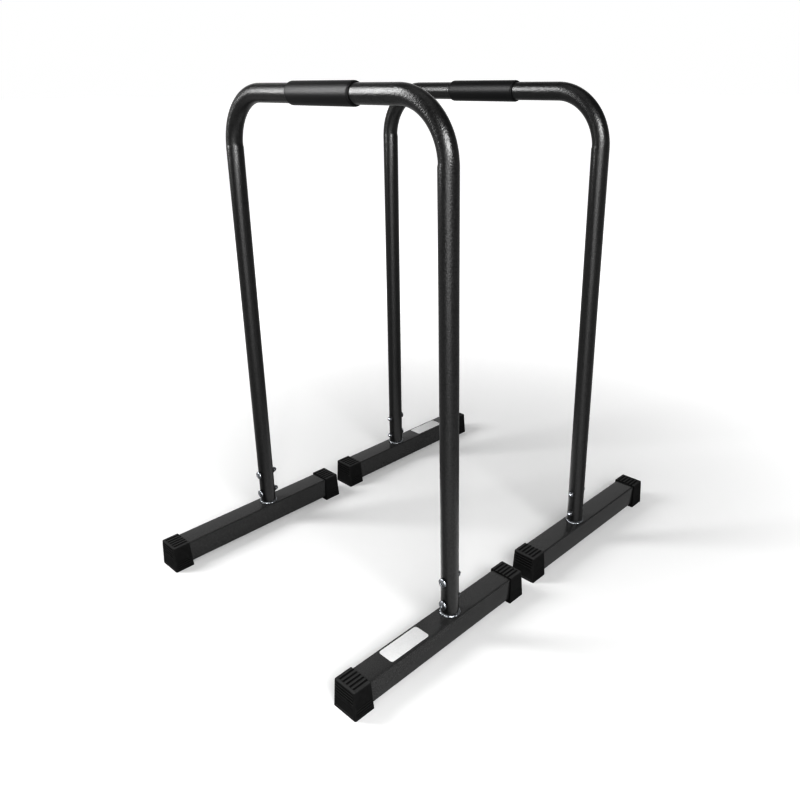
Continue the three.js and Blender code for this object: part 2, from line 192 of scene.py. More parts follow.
@named
class FootSizes(bpy.types.PropertyGroup):
    """Sizes of the square feet, their spigots and welds."""
    tube: mm("Side of the square tube", 45)
    wall: mm("Wall of the square tube", 2)
    corner: mm("Outside corner radius of the square tube", 3.5)
    corner_steps: count("Steps round each corner", 8)
    length: mm("Length of the square tube", 418)
    bottom: mm("Underside of the tube above the floor", 7.4)
    offset: mm("Leg's axis inward of the middle of the foot", 33)
    spigot: mm("Diameter of the spigot inside the leg", 28.4)
    spigot_wall: mm("Wall of the spigot", 2)
    spigot_height: mm("Height of the spigot above the foot", 92)
    bead_width: mm("Weld bead out from the spigot", 5)
    bead_height: mm("Weld bead up from the foot", 4)
    bead_steps: count("Steps over the bead's section", 10)
    undercut: angle("How far the bead's section curls under", 35)
    ripples: count("Ripples round the bead", 16)
    ripple: mm("Height of the ripples", 0.7)
    ripple_steps: count("Facets in each ripple", 8)
    lag_share: level("Share of a ripple that the bead's top trails its side by", 0.25)
    ripple_power: level("Sharpness of the ripples", 1.5)
    wander_share: level("Bead's wander beside its ripples", 0.4)
    wanders: count("Wanders round the bead", 3)
    sides: count("Facets round the spigot", 72)


@named
class CapSizes(bpy.types.PropertyGroup):
    """Sizes of the ribbed end caps."""
    height: length("Height of the cap", CAP_HEIGHT)
    top_width: mm("Width at the top", 48.6)
    length: mm("Length at the top", 34.5)
    end_face: mm("Foot tube's end to the end face at its top", 4.2)
    flare: mm("Spread of each side from the top to the sole", 2.6)
    corner: mm("Rounding of the upright corners", 3)
    edge: mm("Rounding round the top", 2.2)
    sole_edge: mm("Rounding round the sole", 0.8)
    least_edge: mm("Least rounding where edges meet", 0.3)
    rim: mm("Rounding round the mouth", 0.5)
    play: mm("Gap to the foot tube", 0.3)
    crease: mm("Rounding of the grooves' edges", 0.22)
    top_count: count("Grooves in the top", 5)
    top_pitch: mm("Spacing of the top grooves", 8.2)
    top_groove: mm("Width of the top grooves", 3.4)
    top_depth: mm("Depth of the top grooves", 1.5)
    top_land: mm("Land between the top grooves and the end face", 5)
    end_count: count("Grooves in the end face", 4)
    end_pitch: mm("Spacing of the end grooves", 5.9)
    end_groove: mm("Width of the end grooves", 3.2)
    end_depth: mm("Depth of the end grooves", 2.4)
    end_first: mm("First end groove below the top", 5.5)
    end_margin: mm("Ends of the end grooves to the sides", 3.8)
    panel_bottom: mm("Sunk panel above the sole", 4.5)
    panel_height: mm("Height of the sunk panel", 18)
    panel_depth: mm("Depth of the sunk panel", 0.8)
    side_count: count("Grooves in each side", 4)
    side_pitch: mm("Spacing of the side grooves", 5)
    side_groove: mm("Width of the side grooves", 1.8)
    side_depth: mm("Depth of the side grooves", 0.6)
    side_first: mm("First side groove above the sole", 6)
    # Painted shade: its share in the top grooves, and how soon it fills the end grooves
    dusty_share: level("Darkness of the top grooves beside the end grooves", 0.75)
    dark_reach: level("How soon the end grooves turn dark", 2.5)
    corner_steps: count("Steps round each corner", 6)
    rim_steps: count("Steps round the mouth's rim", 3)


@named
class FastenerSizes(bpy.types.PropertyGroup):
    """Sizes of the bolts, saddle washers and cap nuts."""
    bolt: mm("Diameter of the bolt", 6)
    hole: mm("Diameter of the bolt holes", 6.6)
    lower_height: mm("Lower bolt above the foot's top", 24)
    pitch: mm("Lower bolt to upper bolt", 47)
    head: mm("Diameter of the head", 17)
    head_height: mm("Height of the head", 4.4)
    head_rim: mm("Upright rim of the head", 1)
    socket: mm("Socket across its flats", 5)
    socket_depth: mm("Depth of the socket", 2.2)
    seat: mm("Leg's axis to the saddle washer's hollow", 16.3)
    washer: mm("Diameter of the saddle washers", 13)
    washer_face: mm("Leg's axis to the washer's outer face", 17.5)
    head_seat: mm("Leg's axis to the underside of head and nut", 17.8)
    nut: mm("Nut across its flats", 10)
    nut_hex: mm("Height of the nut's hexagon", 4.6)
    nut_dome: mm("Diameter of the nut's dome", 8.6)
    nut_height: mm("Height of the whole nut", 8.9)
    nut_bore: mm("Depth of the nut's bore", 6)
    reach: mm("Bolt's length inside its nut", 5)
    edge: mm("Rounding of the turned edges", 0.3)
    tip_share: level("Height of the small flat on the dome's tip", 0.9995)
    sides: count("Facets round the turned forms", 48)
    dome_steps: count("Steps over each dome", 10)


@named
class LabelSizes(bpy.types.PropertyGroup):
    """Sizes of the blank label plates."""
    width: length("Width of the plate", LABEL_SIZE.x)
    length: length("Length of the plate", LABEL_SIZE.y)
    thickness: length("Thickness of the plate", LABEL_SIZE.z)
    corner: mm("Corner radius of the plate", 5)
    edge: mm("Rounding round the top", 0.2)
    from_leg: mm("Leg's axis to the near edge of the plate", 70)
    play: mm("Gap to the foot", 0.3)
    corner_steps: count("Steps round each corner", 8)
    edge_steps: count("Steps over the edge", 3)


@named
class FinishColours(bpy.types.PropertyGroup):
    """Colours of the finishes."""
    frame_paint: colour("Hammered powder coat of the frame tubes", "#1a1a1a")
    # Painted shade: this darker colour lies in the valleys of the hammered relief
    frame_valley: colour("Powder coat in the valleys of the hammering", "#0c0c0c")
    foot_paint: colour("Powder coat of the feet", "#363636")
    foot_speckle: colour("Fine dark speckle of the feet", "#2a2a2a")
    # Painted sheen: the pale metallic weld tint stands in for bright glints on the black-coated beads
    weld: colour("Thin glossy paint on the weld beads", "#7e8083")
    weld_pool: colour("Darker paint between the ripples", "#333436")
    grip: colour("Rubber of the grips", "#070708")
    cap: colour("Rubber of the end caps", "#151515")
    cap_bloom: colour("Paler film on the cap rubber", "#1d1d1d")
    # Painted light: this paler colour on upward faces of the end caps stands in for top light
    cap_dust: colour("Dust and wear on top of the end caps", "#2f2f2f")
    # Painted shade: this near-black darkens the grooves, mouth rim and pocket of the end caps
    cap_groove: colour("Clean rubber deep in the grooves", "#060606")
    zinc: colour("Bright zinc of the fasteners", "#949699")
    nylon: colour("Black nylon of the saddle washers", "#131314")
    label: colour("White face of the label", "#8a8a8a")
    floor: colour("Opal acrylic of the studio floor", "#848484")


def softbox_settings():
    """Settings of every softbox, by key."""
    settings = {}
    for box, (place, aim, size, power) in SOFTBOXES.items():
        settings[f"{box}_place"] = point(f"Where the {box} softbox stands", place)
        settings[f"{box}_aim"] = point(f"Where the {box} softbox points", aim)
        settings[f"{box}_size"] = pair(f"Width and height of the {box} softbox", size, "LENGTH")
        settings[f"{box}_power"] = level(f"Power of the {box} softbox", power, "POWER")
    return settings


@named
class StudioSettings(bpy.types.PropertyGroup):
    """Camera and lights of the studio."""
    focal: level("Focal length of the lens", 33.117, "CAMERA")
    azimuth: angle("Camera's turn about the vertical", 43.61)
    pitch: angle("Camera's look down", 22.17)
    roll: angle("Camera's roll", -0.238)
    place: point("Where the camera stands", (0.9955, -0.9950, 0.9273))
    shift: pair("Lens shift that frames the photograph", (-0.0409, -0.0205))
    floor_size: length("Side of the floor", 120.0)
    glow_near: level("Floor's own light under the object", 0.27)
    glow_far: level("Floor's own light far from the object", 0.94)
    glow_start: length("Where the floor's own light starts to rise", 0.2)
    glow_stop: length("Where the floor's own light is full", 2.1)
    wall: level("Strength of the white wall all round", 1.0)
    ceiling: level("Strength of the ceiling", 0.25)
    wall_top: angle("Rise at which the wall starts to darken", 7)
    ceiling_start: angle("Rise from which the ceiling is even", 28)
    contrast: level("Display gamma. Lower is more contrast", 0.6)
    __annotations__.update(softbox_settings())


# Finishes


def add_node(tree, kind, settings=None, links=None):
    """A shader node with its settings, its ramp's stops and its linked inputs.

    A link comes from a socket, or from a node's first output.
    """
    node = tree.nodes.new(f"ShaderNode{kind}")
    for key, value in (settings or {}).items():
        if key == "stops":
            for element, (position, tint) in zip(node.color_ramp.elements, value):
                element.position = position
                element.color = (*tint, 1.0)
        elif isinstance(key, int) or key in node.inputs:
            node.inputs[key].default_value = value
        else:
            setattr(node, key, value)
    for key, source in (links or {}).items():
        tree.links.new(getattr(source, "outputs", [source])[0], node.inputs[key])
    return node


def mottled(tint, share):
    """Stops of a ramp from a tint darkened to a share of itself up to the tint."""
    darker_stop, tint_stop = 0.3, 0.7
    return (darker_stop, tuple(channel * share for channel in tint)), (tint_stop, tint)


def fine_surface(add, place, blotch, grain, tints, roughness, relief):
    """Tint in blotches, and roughness and relief by a finer grain, as links for a shader.

    The tints are two stops of a ramp, the roughness its least and its most.
    """
    blotches = add("TexNoise", {"Scale": 1 / blotch, "Detail": 3.0}, {"Vector": place})
    grains = add("TexNoise", {"Scale": 1 / grain, "Detail": 3.0, "Roughness": 0.6}, {"Vector": place})
    least, most = roughness
    return {
        "Base Color": add("ValToRGB", {"stops": tints}, {"Fac": blotches}),
        "Roughness": add("MapRange", {"To Min": least, "To Max": most}, {"Value": grains}),
        "Normal": add("Bump", {"Distance": relief}, {"Height": grains}),
    }


def hammered_powder_coat(add, place, colours):
    """Epoxy powder coat, cured into a hammered skin on steel tube.

    It gives the eye small smooth islands with valleys darkened by painted shade, so highlights break
    up at their edges.
    """
    island = 2.6 * MM
    relief = 0.26 * MM
    skin_grain = 0.9 * MM
    skin_relief = 0.03 * MM
    polish_patch = 9 * MM
    islands_per_wobble = 3
    wobble_share = 1.2
    wobble = add("TexNoise", {"Scale": 1 / (islands_per_wobble * island), "Detail": 1.0},
                 {"Vector": place}).outputs["Color"]
    shaken = add("VectorMath", {"operation": "SCALE", "Scale": wobble_share * island}, {0: wobble})
    moved = add("VectorMath", {"operation": "ADD"}, {0: place, 1: shaken})
    cells = add("TexVoronoi", {"feature": "SMOOTH_F1", "Scale": 1 / island, "Smoothness": 0.6},
                {"Vector": moved})
    # Painted shade: the valleys of the relief take the darker colour
    paint = add("ValToRGB", {"stops": ((0.25, colours.frame_paint), (0.75, colours.frame_valley))},
                {"Fac": cells})
    patches = add("TexNoise", {"Scale": 1 / polish_patch}, {"Vector": place})
    rough = add("MapRange", {"To Min": 0.31, "To Max": 0.37}, {"Value": patches})
    skin_noise = add("TexNoise", {"Scale": 1 / skin_grain}, {"Vector": place})
    skin_normal = add("Bump", {"Distance": skin_relief}, {"Height": skin_noise})
    domes = add("Math", {"operation": "SUBTRACT", 0: 1.0}, {1: cells})
    normal = add("Bump", {"Distance": relief}, {"Height": domes, "Normal": skin_normal})
    return add("BsdfPrincipled", {"Metallic": 0.25, "IOR": 1.5},
               {"Base Color": paint, "Roughness": rough, "Normal": normal})


def satin_powder_coat(add, place, colours):
    """Epoxy powder coat on square steel tube, cured to a fine orange peel.

    It gives the eye an even charcoal sheen with a faint dark speckle.
    """
    # The real peel is about 0.6 mm from dimple to dimple. It is drawn coarser, so that it shows
    links = fine_surface(add, place, blotch=1.8 * MM, grain=1.6 * MM,
                         tints=((0.42, colours.foot_speckle), (0.6, colours.foot_paint)),
                         roughness=(0.16, 0.24), relief=0.015 * MM)
    return add("BsdfPrincipled", {"Metallic": 0.2, "IOR": 1.5}, links)


def gloss_paint_on_weld(add, place, colours):
    """The same powder coat, pooled thick and glossy over the ripples of the weld bead.

    It gives the eye bright broken arcs between dark pools. Its pale metallic tint, laid in random
    blotches, is painted sheen.
    """
    # Painted sheen: blotches of the pale weld tint among the darker coat
    links = fine_surface(add, place, blotch=2.4 * MM, grain=0.8 * MM,
                         tints=((0.42, colours.weld_pool), (0.6, colours.weld)),
                         roughness=(0.3, 0.42), relief=0.05 * MM)
    return add("BsdfPrincipled",
               {"Metallic": 0.6, "IOR": 1.5, "Coat Weight": 0.8, "Coat Roughness": 0.18}, links)


def moulded_grip_rubber(add, place, colours):
    """Nitrile rubber sleeve, moulded with a fine grain.

    It gives the eye a soft wide highlight on near-black.
    """
    links = fine_surface(add, place, blotch=12 * MM, grain=0.5 * MM, relief=0.03 * MM,
                         tints=mottled(colours.grip, 0.75), roughness=(0.42, 0.52))
    return add("BsdfPrincipled", {"IOR": 1.52, "Specular IOR Level": 0.26}, links)


def moulded_cap_rubber(add, place, colours):
    """Rubber end caps from a spark-eroded mould, with a faint bloom.

    They give the eye a dull black, paled on top by painted light, with grooves, mouth rim and pocket
    darkened by painted shade.
    """
    up = (0.0, 0.0, 1.0)
    links = fine_surface(add, place, blotch=7 * MM, grain=0.6 * MM,
                         tints=((0.35, colours.cap), (0.7, colours.cap_bloom)),
                         roughness=(0.6, 0.75), relief=0.03 * MM)
    # Painted light: faces that look up take the paler top colour
    normal = add("NewGeometry").outputs["Normal"]
    upward = add("VectorMath", {"operation": "DOT_PRODUCT", 1: up}, {0: normal}).outputs["Value"]
    painted_top_light = add("Mix", {"data_type": "RGBA", MIX_OVER: (*colours.cap_dust, 1.0)},
                {MIX_SHARE: upward, MIX_UNDER: links["Base Color"]}).outputs[MIX_RESULT]
    # Painted shade: the sunk share darkens grooves, mouth rim and pocket
    sunk = add("Attribute", {"attribute_name": "sunk"}).outputs["Fac"]
    links["Base Color"] = add("Mix", {"data_type": "RGBA", MIX_OVER: (*colours.cap_groove, 1.0)},
                              {MIX_SHARE: sunk, MIX_UNDER: painted_top_light}).outputs[MIX_RESULT]
    return add("BsdfPrincipled", {"IOR": 1.52, "Specular IOR Level": 0.08}, links)


def bright_zinc_plate(add, place, colours):
    """Cold-headed steel fasteners, plated in bright zinc.

    They give the eye pale grey metal with small bright highlights and a fine dulling.
    """
    links = fine_surface(add, place, blotch=1.2 * MM, grain=0.4 * MM, relief=0.008 * MM,
                         tints=mottled(colours.zinc, 0.6), roughness=(0.28, 0.42))
    return add("BsdfPrincipled", {"Metallic": 1.0}, links)


def black_nylon(add, place, colours):
    """Injection-moulded nylon washers, with the faint texture of their mould.

    They give the eye a satin black.
    """
    links = fine_surface(add, place, blotch=0.9 * MM, grain=0.5 * MM, relief=0.01 * MM,
                         tints=mottled(colours.nylon, 0.8), roughness=(0.38, 0.5))
    return add("BsdfPrincipled", {"IOR": 1.53}, links)


def calendered_vinyl(add, place, colours):
    """White calendered vinyl face on a thin plate.

    It gives the eye a clean even white with a slight satin grain.
    """
    links = fine_surface(add, place, blotch=3 * MM, grain=1.2 * MM, relief=0.01 * MM,
                         tints=mottled(colours.label, 0.93), roughness=(0.42, 0.5))
    return add("BsdfPrincipled", {"IOR": 1.5}, links)


def opal_studio_floor(add, place, colours):
    """Opal acrylic light table, sanded matt and lit from below.

    It gives the eye an even white, on which the object's soft shadow still shows.
    """
    studio = bpy.context.scene.dip_studio
    patch = 800 * MM
    clouds = add("TexNoise", {"Scale": 1 / patch}, {"Vector": place})
    face = add("ValToRGB", {"stops": mottled(colours.floor, 0.985)}, {"Fac": clouds})
    away = add("VectorMath", {"operation": "LENGTH"}, {0: place}).outputs["Value"]
    glow = add("MapRange", {"interpolation_type": "SMOOTHSTEP", "From Min": studio.glow_start,
                            "From Max": studio.glow_stop, "To Min": studio.glow_near,
                            "To Max": studio.glow_far}, {"Value": away})
    return add("BsdfPrincipled",
               {"Roughness": 0.75, "Specular IOR Level": 0.15, "Emission Color": WHITE},
               {"Base Color": face, "Emission Strength": glow})


FINISHES = {
    "frame_paint": hammered_powder_coat,
    "foot_paint": satin_powder_coat,
    "weld_paint": gloss_paint_on_weld,
    "grip_rubber": moulded_grip_rubber,
    "cap_rubber": moulded_cap_rubber,
    "fastener_steel": bright_zinc_plate,
    "washer_nylon": black_nylon,
    "label_white": calendered_vinyl,
    "floor": opal_studio_floor,
}
made_finishes = {}


def finish_for(slot):
    """The material of a slot, made when it is first asked for."""
    if slot not in made_finishes:
        build = FINISHES[slot]
        material = bpy.data.materials.new(build.__name__)
        material.use_nodes = True
        material.node_tree.nodes.clear()
        add = partial(add_node, material.node_tree)
        place = add("TexCoord").outputs["Object"]
        shader = build(add, place, bpy.context.scene.dip_colours)
        add("OutputMaterial", links={"Surface": shader})
        made_finishes[slot] = material
    return made_finishes[slot]


# Mesh building


def circle(sides):
    """Turns round a circle, in radians."""
    return [2 * pi * i / sides for i in range(sides)]


def arc(steps, start=0.0, sweep=pi / 2):
    """Turns along an arc, in radians, both ends included."""
    return [start + sweep * i / steps for i in range(steps + 1)]


def revolved(profile, sides, axis):
    """Rings round an axis, from places along it and radii. Each may be a function of the turn."""
    rings = []
    for station in profile:
        ring = []
        for turn in circle(sides):
            along, radius = [value(turn) if callable(value) else value for value in station]
            place = [radius * cos(turn), radius * sin(turn)]
            place.insert("XYZ".index(axis), along)
            ring.append(Vector(place))
        rings.append(ring)
    return rings


def rounded_rectangle(half_width, half_length, radius, steps):
    """Points round a rectangle. Its halves reach to the centres of its round corners."""
    return [(sx * half_width + radius * cos(a), sy * half_length + radius * sin(a))
            for quarter, (sx, sy) in enumerate(((1, 1), (-1, 1), (-1, -1), (1, -1)))
            for a in arc(steps, quarter * pi / 2)]


def skin(rings, close_loop=False):
    """Vertices and quads over rings that all have the same number of points."""
    size = len(rings[0])
    vertices = [vertex for ring in rings for vertex in ring]
    faces = []
    for row in range(len(rings) if close_loop else len(rings) - 1):
        low = row * size
        high = (row + 1) % len(rings) * size
        for i in range(size):
            j = (i + 1) % size
            faces.append((low + i, low + j, high + j, high + i))
    return vertices, faces


def mesh_from(name, vertices, faces, slots, face_slots=None, sharp=SHARP_EDGE, sunk=None):
    """A smooth-shaded closed mesh, with doubled points welded and faces turned outward.

    Sunk gives each point's share of painted groove shade, from 0 to 1.
    """
    mesh = bpy.data.meshes.new(name)
    mesh.from_pydata([tuple(v) for v in vertices], [], faces)
    for slot in slots:
        mesh.materials.append(finish_for(slot))
    if face_slots:
        mesh.polygons.foreach_set("material_index", face_slots)
    if sunk:
        mesh.attributes.new("sunk", "FLOAT", "POINT").data.foreach_set("value", sunk)
    work = bmesh.new()
    work.from_mesh(mesh)
    bmesh.ops.remove_doubles(work, verts=work.verts, dist=WELD_DISTANCE)
    bmesh.ops.recalc_face_normals(work, faces=work.faces)
    work.to_mesh(mesh)
    work.free()
    mesh.shade_smooth()
    mesh.set_sharp_from_angle(angle=sharp)
    mesh.update()
    return mesh


def ring_mesh(name, rings, slot, close_loop=False, sharp=SHARP_EDGE):
    """A mesh over rings, closed in a loop or else with a lid on its first and last ring."""
    vertices, faces = skin(rings, close_loop)
    if not close_loop:
        size, total = len(rings[0]), len(vertices)
        faces += [tuple(range(size)), tuple(range(total - size, total))]
    return mesh_from(name, vertices, faces, [slot], sharp=sharp)


def add_object(name, data):
    """An object of its own in the scene."""
    made = bpy.data.objects.new(name, data)
    bpy.context.scene.collection.objects.link(made)
    return made


def place_piece(name, mesh, matrix, node):
    """Sets one piece where its stand puts it, riding on the frame in place of its node."""
    piece = add_object(name, mesh)
    piece.matrix_world = matrix
    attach(piece, BODY)
    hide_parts(node)


# Places of the two stands


def raised(height):
    """A move straight up."""
    return Matrix.Translation((0.0, 0.0, height))


def stand_matrix(stand):
    """Where a stand stands: its frame tube's middle, with the far stand turned half round."""
    low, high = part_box(f"{stand}_frame_tube")
    middle = (low + high) / 2
    turn = Matrix.Rotation(pi if stand == "far" else 0.0, 4, "Z")
    return Matrix.Translation((middle.x, middle.y, 0.0)) @ turn


def foot_top(feet):
    """Height of the feet's upper face above the floor."""
    return feet.bottom + feet.tube


def foot_ends(feet):
    """Outer and inner end of a foot's square tube, along the foot from its leg."""
    inner = feet.length / 2 - feet.offset
    return inner - feet.length, inner


def leg_x(tube, height):
    """How far a leg's axis is from the stand's middle at a height."""
    return tube.half_length + (tube.bar_height - height) * tan(tube.splay)


def leg_lean(tube, side):
    """The lean of the leg on a side of its stand."""
    return Matrix.Rotation(-side * tube.splay, 4, "Y")


def foot_matrix(stand, side, scene):
    """Where a foot's own frame is: on the floor, under the leg on that side."""
    across = side * leg_x(scene.dip_tube, foot_top(scene.dip_feet))
    return stand_matrix(stand) @ Matrix.Translation((across, 0.0, 0.0))


def leg_matrix(stand, side, scene):
    """A frame at the foot's top that leans with the leg."""
    up = raised(foot_top(scene.dip_feet))
    return foot_matrix(stand, side, scene) @ up @ leg_lean(scene.dip_tube, side)


# Frame tubes


def tube_stations(tube, feet):
    """Points, turns and squeezes along the tube's axis, from one leg's end to the other's."""
    sweep = pi / 2 - tube.splay
    centre = Vector((tube.half_length - tube.bend_radius * tan(sweep / 2), 0,
                     tube.bar_height - tube.bend_radius))
    right = [(Vector((centre.x * i / tube.straight_steps, 0, tube.bar_height)), 0.0, 0.0)
             for i in range(tube.straight_steps)]
    full_share = 1 - tube.shoulder / (tube.bend_radius * sweep)
    shares = [full_share * i / tube.bend_steps for i in range(tube.bend_steps)]
    shares += [full_share + (1 - full_share) * i / tube.shoulder_steps
               for i in range(tube.shoulder_steps + 1)]
    for share in shares:
        turn = sweep * share
        offset = Vector((sin(turn), 0, cos(turn))) * tube.bend_radius
        run_out = max(share - full_share, 0.0) / (1 - full_share)
        squeezed = min(share / full_share, 1 - run_out ** 2)
        right.append((centre + offset, turn, tube.squeeze * squeezed))
    bend_end = right[-1][0]
    end_height = foot_top(feet) + tube.end_gap
    leg_end = Vector((leg_x(tube, end_height), 0, end_height))
    for i in range(1, tube.straight_steps + 1):
        right.append((bend_end.lerp(leg_end, i / tube.straight_steps), sweep, 0.0))
    left = [(Vector((-p.x, 0, p.z)), -turn, squeezed) for p, turn, squeezed in reversed(right[1:])]
    return left + right


def tube_ring(station, tube, inward=0.0, along=0.0):
    """A ring round the tube's axis at a station, drawn in all round and moved along the axis."""
    centre, turn, squeezed = station
    normal = Vector((sin(turn), 0, cos(turn)))
    ahead = Vector((cos(turn), 0, -sin(turn)))
    across = Vector((0, 1, 0))
    ring = []
    for a in circle(tube.sides):
        inner_side = (1 - cos(a)) / 2
        radius = tube.diameter / 2 - inward - squeezed * inner_side
        ring.append(centre + ahead * along + (normal * cos(a) + across * sin(a)) * radius)
    return ring


def frame_tube_mesh(tube, feet):
    """The bent tube with its bore and the cut, slightly rounded ends of its legs."""
    stations = tube_stations(tube, feet)
    first, last = stations[0], stations[-1]
    rings = [tube_ring(first, tube, inward=tube.lip), tube_ring(first, tube, along=tube.lip)]
    rings += [tube_ring(station, tube) for station in stations[1:-1]]
    rings += [tube_ring(last, tube, along=-tube.lip), tube_ring(last, tube, inward=tube.lip)]
    rings += [tube_ring(station, tube, inward=tube.wall) for station in reversed(stations)]
    return ring_mesh("frame_tube", rings, "frame_paint", close_loop=True)


class DIP_OT_frame_tubes(bpy.types.Operator):
    """Build the bent frame tubes"""
    bl_idname = "dip.frame_tubes"
    bl_label = "Frame tubes"

    def execute(self, context):
        mesh = frame_tube_mesh(context.scene.dip_tube, context.scene.dip_feet)
        for stand in STANDS:
            place_piece(f"{stand}_tube", mesh, stand_matrix(stand),
                        f"{stand}_frame_tube")
        return {"FINISHED"}


# Grip sleeves


def grip_mesh(grip, tube):
    """A sleeve along X with rounded ends and a bore that clears the tube."""
    inner = tube.diameter / 2 + grip.play
    outer = grip.diameter / 2
    half = grip.length / 2
    rounding = [(half - grip.edge_run * (1 - cos(a)), outer - grip.edge * (1 - sin(a)))
                for a in arc(grip.edge_steps)]
    profile = [(-half, inner), *((-x, radius) for x, radius in rounding), *reversed(rounding),
               (half, inner)]
    return ring_mesh("grip_sleeve", revolved(profile, grip.sides, "X"), "grip_rubber",
                     close_loop=True)


class DIP_OT_grips(bpy.types.Operator):
    """Build the rubber grip sleeves"""
    bl_idname = "dip.grips"
    bl_label = "Grip sleeves"

    def execute(self, context):
        tube = context.scene.dip_tube
        mesh = grip_mesh(context.scene.dip_grip, tube)
        for stand in STANDS:
            place_piece(f"{stand}_grip", mesh, stand_matrix(stand) @ raised(tube.bar_height),
                        f"{stand}_grip_sleeve")
        return {"FINISHED"}


# Feet


def foot_tube_rings(feet):
    """The square tube's rings, outside from end to end and back along the bore."""
    outer, inner = foot_ends(feet)
    middle = feet.bottom + feet.tube / 2
    half = feet.tube / 2 - feet.corner
    bore_corner = feet.corner - feet.wall
    return [[Vector((x, y, middle + z))
             for x, z in rounded_rectangle(half, half, radius, feet.corner_steps)]
            for y, radius in ((outer, feet.corner), (inner, feet.corner),
                              (inner, bore_corner), (outer, bore_corner))]


def spigot_rings(feet):
    """The upright spigot's rings, up its outside and down its bore."""
    outer = feet.spigot / 2
    inner = outer - feet.spigot_wall
    profile = ((0.0, outer), (feet.spigot_height, outer), (feet.spigot_height, inner), (0.0, inner))
    return revolved(profile, feet.sides, "Z")


def bead_rings(feet):
    """The weld bead's rings round its own section, with ripples along its run."""
    rings = []
    sides = feet.ripples * feet.ripple_steps
    root = feet.spigot / 2 - feet.spigot_wall / 2
    for a in arc(feet.bead_steps, -feet.undercut, pi / 2 + feet.undercut):
        ring = []
        rise_share = (sin(a) + sin(feet.undercut)) / (1 + sin(feet.undercut))
        for turn in circle(sides):
            phase = (turn * feet.ripples / (2 * pi) + feet.lag_share * cos(a)) % 1.0
            lump = feet.ripple * (abs(2 * phase - 1) ** feet.ripple_power - 1 / 2)
            wander = feet.wander_share * feet.ripple * sin(feet.wanders * turn + 1)
            reach = feet.spigot / 2 + (feet.bead_width + lump + wander) * cos(a)
            height = (feet.bead_height + lump - wander) * rise_share
            ring.append(Vector((reach * cos(turn), reach * sin(turn), height)))
        rings.append(ring)
    return rings + revolved(((feet.bead_height, root), (0.0, root)), sides, "Z")


def foot_mesh(feet, lean):
    """Square tube, spigot and weld bead, as the three shells of one welded foot."""
    vertices, faces, face_slots = [], [], []
    leaning = raised(foot_top(feet)) @ lean
    shells = ((foot_tube_rings(feet), Matrix.Identity(4), 0), (spigot_rings(feet), leaning, 0),
              (bead_rings(feet), leaning, 1))
    for rings, matrix, slot in shells:
        points, quads = skin(rings, close_loop=True)
        start = len(vertices)
        vertices += [matrix @ p for p in points]
        faces += [tuple(start + i for i in quad) for quad in quads]
        face_slots += [slot] * len(quads)
    return mesh_from("foot", vertices, faces, ["foot_paint", "weld_paint"], face_slots)


class DIP_OT_feet(bpy.types.Operator):
    """Build the square feet with their spigots and weld beads"""
    bl_idname = "dip.feet"
    bl_label = "Feet"

    def execute(self, context):
        scene = context.scene
        meshes = {side: foot_mesh(scene.dip_feet, leg_lean(scene.dip_tube, side)) for side in (1, -1)}
        for stand, foot, side in LEGS:
            place_piece(f"{stand}_{foot}_foot_weldment", meshes[side],
                        foot_matrix(stand, side, scene), f"{stand}_{foot}_foot")
        return {"FINISHED"}


# End caps. A groove is given by its middle and half its width


def eased(share):
    """A share kept between 0 and 1, with a soft start and stop."""
    share = min(max(share, 0.0), 1.0)
    return share * share * (3 - 2 * share)


def notch(place, grooves, crease):
    """How far into a groove a place is, from 0 outside it to 1 on its floor."""
    return max(eased((half + crease - abs(place - middle)) / (2 * crease))
               for middle, half in grooves)


def notch_levels(grooves, crease):
    """Places where the grooves' sections need a row of points."""
    crease_shares = (-1, -1 / 2, 1 / 2, 1)
    return sorted(middle + side * (half + share * crease) for middle, half in grooves
                  for side in (-1, 1) for share in crease_shares)


